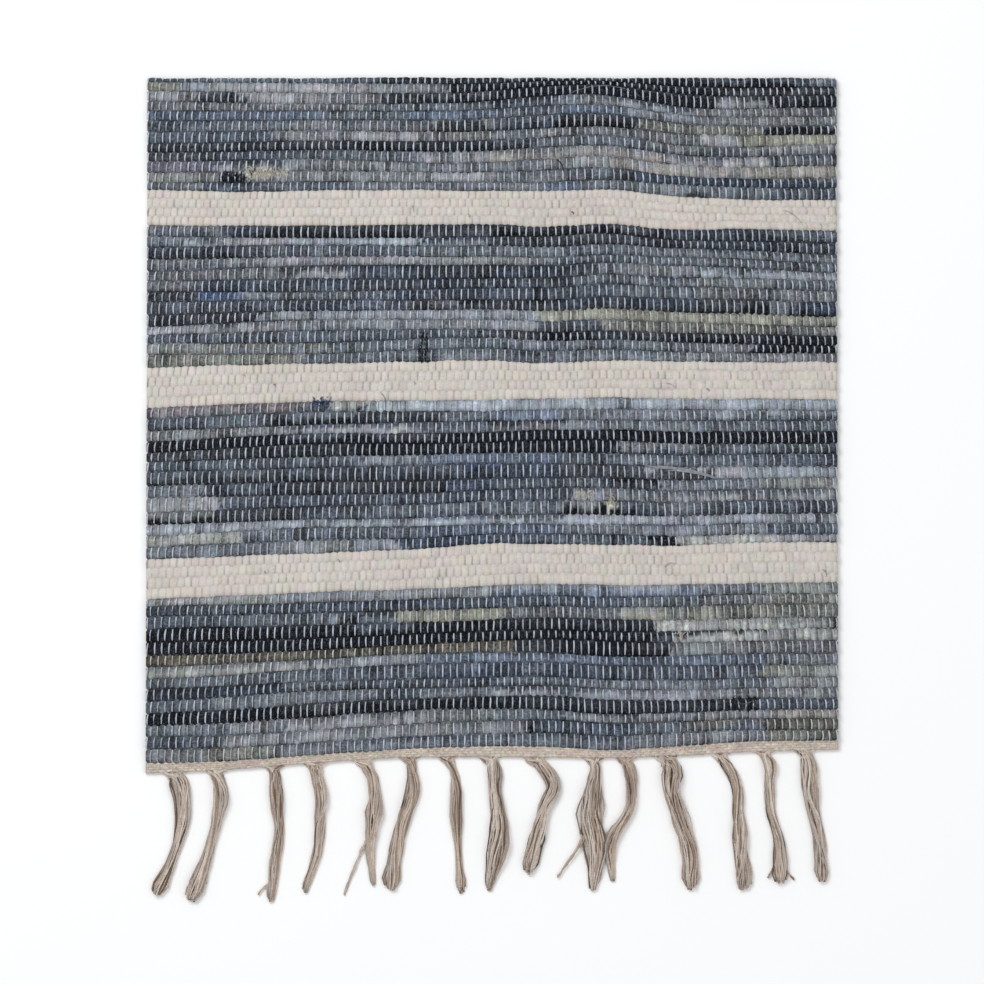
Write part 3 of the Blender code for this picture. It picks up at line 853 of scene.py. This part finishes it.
STRANDS = 42
CLUMPS = 6  # a tassel's warps lie in this many looser bunches
STRAND_STEPS = 24
NECK_STEPS = 7  # of these, how many are in the neck
NECK_SHARE = 0.08  # how far down the neck goes
NECK_SWELL = 1.6  # how much thicker the strands are at the heading
STRAND_RADIUS = 0.64
# Painted light and shade round a strand: a lighter top and a darker underside.
STRAND_SHADE = np.array([0.88, 1.04, 0.88, 0.64])  # round a strand: side, top, side, underside
TASSEL_COTTON = (("#e1cfc0", 0.50), ("#f4e9df", 0.22), ("#c2ac9b", 0.17), ("#8a7767", 0.11))
HEIGHT_OF_WIDTH = (0.46, 0.50, 0.50, 0.46, 0.42, 0.30)
MOST_HIGH = 7.4
NECK_HIGH = 2.6
BURIED = 2.0  # how far a tassel's warps run on into the heading
GATHER = 7.0  # how far below the heading they have drawn together into the neck
FLARE = 4.5  # how far they spread to each side there

# The make-up of a tassel. Turns are in radians along it, waves and places in its half width.
TASSEL_TURN, CLUMP_TURN, STRAND_TURN = 2.2, 0.8, 1.6
CLUMP_SWAY = ((0.6, 0.16),)
CLUMP_OUT = 0.60  # how far from the middle a bunch lies
CLUMPS_APART = 0.08  # share of the way until it lies as far
CLUMP_RADIUS = 0.40
STRAND_WAVE = 0.12
NECK_WAVE = 0.10  # how much more the strands wave until they settle
SETTLED, UNSETTLED = 1.4 / 3, 0.4 / 3
WAVE_STEP = 0.07
ROUND_FROM, FAN_FROM = 0.93, 0.88  # shares of the way where the tip rounds off and fans out
# Painted shade on a tassel's left and right side.
SHADOW_LEFT, SHADOW_RIGHT = 0.26, 0.20


def strand_tones(rng, bunches, sides):
    """A cotton for each strand, with slow changes along its bunch, and painted shade on a tassel's
    sides.
    """
    palette = np.array([linear(code) for code, _ in TASSEL_COTTON])
    odds = [share for _, share in TASSEL_COTTON]
    share = np.linspace(0, 1, sides.shape[1])
    picked = palette[rng.choice(len(palette), len(sides), p=odds)]
    fade = np.array([1 + 0.16 * wander(rng, share, 0.2) for _ in range(bunches.max() + 1)])
    shadow = SHADOW_LEFT * ramp(-sides, 0.3, 0.9) + SHADOW_RIGHT * ramp(sides, 0.6, 1.0)
    light = fade[bunches] * (1 - shadow)
    return picked[:, None, :] * light[:, :, None]


def bundle(rng, x, depth, width, height, flare, clumps, splay):
    """Strand paths of a lying tassel along (x, depth), in loose bunches, each strand's bunch, and
    how far to the tassel's side it lies."""
    share = np.linspace(0, 1, len(x))
    run = np.stack([x, -depth], axis=-1)
    along = np.gradient(run, axis=0)
    along /= np.linalg.norm(along, axis=1, keepdims=True)
    across = np.stack([-along[:, 1], along[:, 0]], axis=-1)
    rounding = np.sqrt(1 - ramp(share, ROUND_FROM, 1.0) ** 2)
    wide = np.maximum(0.56 * width - STRAND_RADIUS, 0.6) * (0.45 + 0.55 * rounding)
    high = np.maximum(height - 2 * STRAND_RADIUS, 0.8)
    twist = rng.normal(0, TASSEL_TURN)
    wavy = STRAND_WAVE + NECK_WAVE * ramp(share, SETTLED, UNSETTLED)
    paths, bunches, sides = [], [], []
    for clump in range(clumps):
        angle = 2 * math.pi * (clump + rng.uniform(0, 0.6)) / clumps
        turn = angle + (twist + rng.normal(0, CLUMP_TURN)) * share + waves(rng, share, CLUMP_SWAY)
        out = CLUMP_OUT * (0.5 + 0.5 * ramp(share, 0, CLUMPS_APART))
        cut = rng.uniform(-1.5, 2.2)
        for _ in range(STRANDS // CLUMPS):
            radius = CLUMP_RADIUS * math.sqrt(rng.uniform(0, 1))
            own = rng.uniform(0, 2 * math.pi) + (twist + rng.normal(0, STRAND_TURN)) * share
            wave = wavy * wander(rng, share, WAVE_STEP)
            side = (out * np.cos(turn) + radius * np.cos(own) + wave) * (1 - flare)
            spread = side + math.sin(rng.uniform(-1.5, 1.5)) * flare
            up = 0.5 + 0.5 * (out * np.sin(turn) + radius * np.sin(own))
            fan = splay * spread * ramp(share, FAN_FROM, 1.0) ** 2
            place = run + across * (spread * wide + fan)[:, None]
            reach = cut + rng.uniform(-1.2, 0.8) - 3.2 * spread[-1] ** 2
            place[:, 1] -= reach * share**3
            z = STRAND_RADIUS + np.clip(up, 0, 1) * high
            paths.append(np.column_stack([place[:, 0], FAR_Y + place[:, 1], z]))
            bunches.append(clump)
            sides.append(spread * (1 - flare))
    return np.array(paths), np.array(bunches), np.array(sides)


def tassel_line(row):
    """A tassel's middle line, width, height and flare, from inside the heading to its tip."""
    value = dict(zip(TASSEL_COLUMNS, row))
    length = value["length"] + BURIED
    below = np.linspace(0.11, 1.0, STRAND_STEPS - NECK_STEPS)
    share = np.concatenate([np.linspace(0, NECK_SHARE, NECK_STEPS), below])
    sway = [0.0] + [value[key] for key in ("bulge", "waist", "belly", "ankle", "tip")]
    widths = smooth(STATIONS, [value[f"w{i}"] for i in range(6)], share)
    depth = float(band_depth("heading", value["x"])) - BURIED + share * length
    x = value["x"] + smooth(STATIONS, sway, share)
    flare = ramp(share * length, BURIED + GATHER, BURIED) ** 2.2
    width = widths + 2 * FLARE * flare
    height = np.minimum(widths * smooth(STATIONS, HEIGHT_OF_WIDTH, share), MOST_HIGH)
    height = height * (1 - flare) + NECK_HIGH * flare
    return x, depth, width, height, flare


def wisp_line(row):
    """The same for a loose end, which keeps no flare."""
    value = dict(zip(WISP_COLUMNS, row))
    parent = dict(zip(TASSEL_COLUMNS, TASSELS[value["tassel"]]))
    t = np.linspace(0, 1, STRAND_STEPS)
    reach = value["from"] + t * (value["to"] - value["from"])
    depth = float(band_depth("heading", parent["x"])) + parent["length"] * reach
    x = parent["x"] + value["x_from"] + t * (value["x_to"] - value["x_from"])
    width = value["w_from"] + t * (value["w_to"] - value["w_from"])
    return x, depth, width, 0.6 * width, np.zeros(STRAND_STEPS)


def tassels():
    rng = np.random.default_rng(77)
    lines = [(tassel_line(row), CLUMPS, 1.6) for row in TASSELS]
    lines += [(wisp_line(row), 1, 0.4) for row in WISPS + LOOSE_ENDS]
    paths, bunches, sides = [], [], []
    for line, clumps, splay in lines:
        made, bunch, side = bundle(rng, *line, clumps, splay)
        paths.append(made)
        bunches.append(bunch + (bunches[-1].max() + 1 if bunches else 0))
        sides.append(side)
    paths, bunches, sides = (np.concatenate(some) for some in (paths, bunches, sides))
    thick = STRAND_RADIUS * uneven_yarn(rng, paths.shape[:2], 0.12)
    thick[:, :NECK_STEPS] *= np.linspace(NECK_SWELL, 1.0, NECK_STEPS)
    tones = strand_tones(rng, bunches, sides)
    return yarns(
        "tassel_strands", "warp_cotton", paths, thick, thick, tones, phase=0.0, shade=STRAND_SHADE
    )


# ---- frayed ends and loose threads

THREAD_STEPS = 6
THREAD_HIGH = 5.75  # height of a loose thread's middle
FIBRE_HIGH = 5.0  # least height of a short fibre's middle
ALONG = np.linspace(0, 1, THREAD_STEPS)
FROM_MIDDLE = np.abs(2 * ALONG - 1)  # 0 at a thread's middle, 1 at its ends
ARC = 4 * ALONG * (1 - ALONG)
TAPER = 1 - 0.6 * FROM_MIDDLE**3


def leftward(run):
    """The unit direction to the left of a run."""
    return np.array([-run[1], run[0]]) / np.linalg.norm(run)


def loose_threads():
    rng = np.random.default_rng(31)
    paths, widths, colours = [], [], []
    for row in THREADS:
        value = dict(zip(THREAD_COLUMNS, row))
        run = np.array([value["x_end"] - value["x"], value["depth"] - value["depth_end"]])
        bow = ARC * value["bow"] + 0.25 * wander(rng, ALONG, 0.3)
        place = np.outer(ALONG, run) + np.outer(bow, leftward(run))
        z = THREAD_HIGH - 1.2 * FROM_MIDDLE**6 + 0.1 * wander(rng, ALONG, 0.3)
        y = FAR_Y - value["depth"] + place[:, 1]
        paths.append(np.column_stack([value["x"] + place[:, 0], y, z]))
        widths.append(value["width"] / 2 * TAPER)
        colours.append(np.tile(linear(CLOTHS[value["cloth"]]), (THREAD_STEPS, 1)))
    for row in FRAYS:
        value = dict(zip(FRAY_COLUMNS, row))
        for _ in range(value["count"]):
            x = value["x"] + rng.uniform(-0.5, 0.5) * value["width"]
            depth = value["depth"] + rng.uniform(-0.5, 0.5) * value["reach"]
            length = value["length"] * rng.uniform(0.5, 1.2)
            angle = math.pi / 2 + rng.normal(0, 0.5)
            run = length * np.array([math.cos(angle), math.sin(angle)])
            bow = rng.normal(0, 0.16) * length
            place = np.outer(ALONG - 0.5, run) + np.outer(ARC * bow, leftward(run))
            z = FIBRE_HIGH + rng.uniform(0, 0.9) - 1.4 * FROM_MIDDLE**3
            paths.append(np.column_stack([x + place[:, 0], FAR_Y - depth + place[:, 1], z]))
            widths.append(rng.uniform(0.22, 0.5) * TAPER)
            tint = linear(CLOTHS[value["cloth"]]) * rng.uniform(0.8, 1.15)
            colours.append(np.tile(tint, (THREAD_STEPS, 1)))
    paths, widths, colours = np.array(paths), np.array(widths), np.array(colours)
    return yarns("loose_threads", "denim_rag", paths, widths, widths, colours, level=UPWARD)


# ---- put together

FINISHES = {
    "denim_rag": cloth_finish(
        "denim_cloth", grain=1000.0, speckle=0.36, blotch=0.48, streak=0.44, wear=0.14,
        bump=0.6, flecks=0.36, settle=0.4,
    ),
    "white_rag": cloth_finish(
        "white_cotton_cloth", grain=800.0, speckle=0.06, blotch=0.03, streak=0.05, wear=0.04,
        bump=0.35,
    ),
    "warp_cotton": cloth_finish(
        "cotton_yarn", grain=1200.0, speckle=0.10, blotch=0.08, streak=0.08, wear=0.06,
        bump=0.4,
    ),
    "cotton_heading": cloth_finish(
        "cotton_picks", grain=1100.0, speckle=0.16, blotch=0.12, streak=0.05, wear=0.06,
        bump=0.4, flecks=0.1,
    ),
}

wefts = []
row_number = 0
for band in BANDS:
    wefts.append(rag_rows(band, row_number))
    row_number += len(band[3])

third = WARPS // 3
warps = [
    warp_threads("warp_left", 0, third),
    warp_threads("warp_middle", third, third),
    warp_threads("warp_right", 2 * third, WARPS - 2 * third),
]
picks = heading_picks()
stitches = heading_warps()
strands = tassels()
loose_threads()

for made in wefts + warps:
    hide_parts("rug_body")
for made in (picks, stitches):
    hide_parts("heading")
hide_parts("fringe")

# ---- stage, light and camera

FLOOR_SIZE = 12.0  # metres, as are all places from here on
FLOOR_DROP = 0.0003  # the floor lies this far below the rug, so that they share no plane
SKY_COLOUR = (0.97, 0.985, 1.0, 1.0)
SKY_STRENGTH = 0.64
ELEVATION = math.radians(78)
LENS = 1000.0  # long, because the photograph shows hardly any convergence
SENSOR = 36.0
FRAME_WIDTH = 854.0  # millimetres that the picture's width covers at the rug
FRAME_DEPTH = 368.3  # depth in millimetres at the picture's middle
CLIP_END = 100.0


def stage():
    bpy.ops.mesh.primitive_plane_add(size=FLOOR_SIZE, location=(0, 0, -FLOOR_DROP))
    floor = bpy.context.object
    floor.name = "studio_floor"
    floor.data.materials.append(floor_finish())


def placed(name, data, place, towards):
    """An object of a light or a camera, at its place and facing a direction."""
    holder = bpy.data.objects.new(name, data)
    holder.location = place
    holder.rotation_euler = towards.to_track_quat("-Z", "Y").to_euler()
    bpy.context.scene.collection.objects.link(holder)
    return holder


def light(name, place, size, power):
    lamp = bpy.data.lights.new(name, "AREA")
    lamp.shape = "SQUARE"
    lamp.size = size
    lamp.energy = power
    placed(name, lamp, place, -Vector(place))


def sky():
    world = bpy.data.worlds.new("studio")
    world.use_nodes = True
    background = world.node_tree.nodes["Background"]
    background.inputs["Color"].default_value = SKY_COLOUR
    background.inputs["Strength"].default_value = SKY_STRENGTH
    bpy.context.scene.world = world


def camera():
    target = Vector((0.0, (FAR_Y - FRAME_DEPTH) * MM, TOP / 2 * MM))
    distance = FRAME_WIDTH * MM * LENS / SENSOR
    data = bpy.data.cameras.new("camera")
    data.lens = LENS
    data.sensor_width = SENSOR
    data.clip_end = CLIP_END
    back = Vector((0.0, -math.cos(ELEVATION), math.sin(ELEVATION)))
    bpy.context.scene.camera = placed("camera", data, target + back * distance, -back)


stage()
sky()
light("key", place=(-1.6, 1.5, 2.6), size=1.6, power=52.0)
light("fill", place=(1.8, -1.4, 2.4), size=1.8, power=12.0)
camera()
bpy.context.scene.view_settings.view_transform = "Standard"
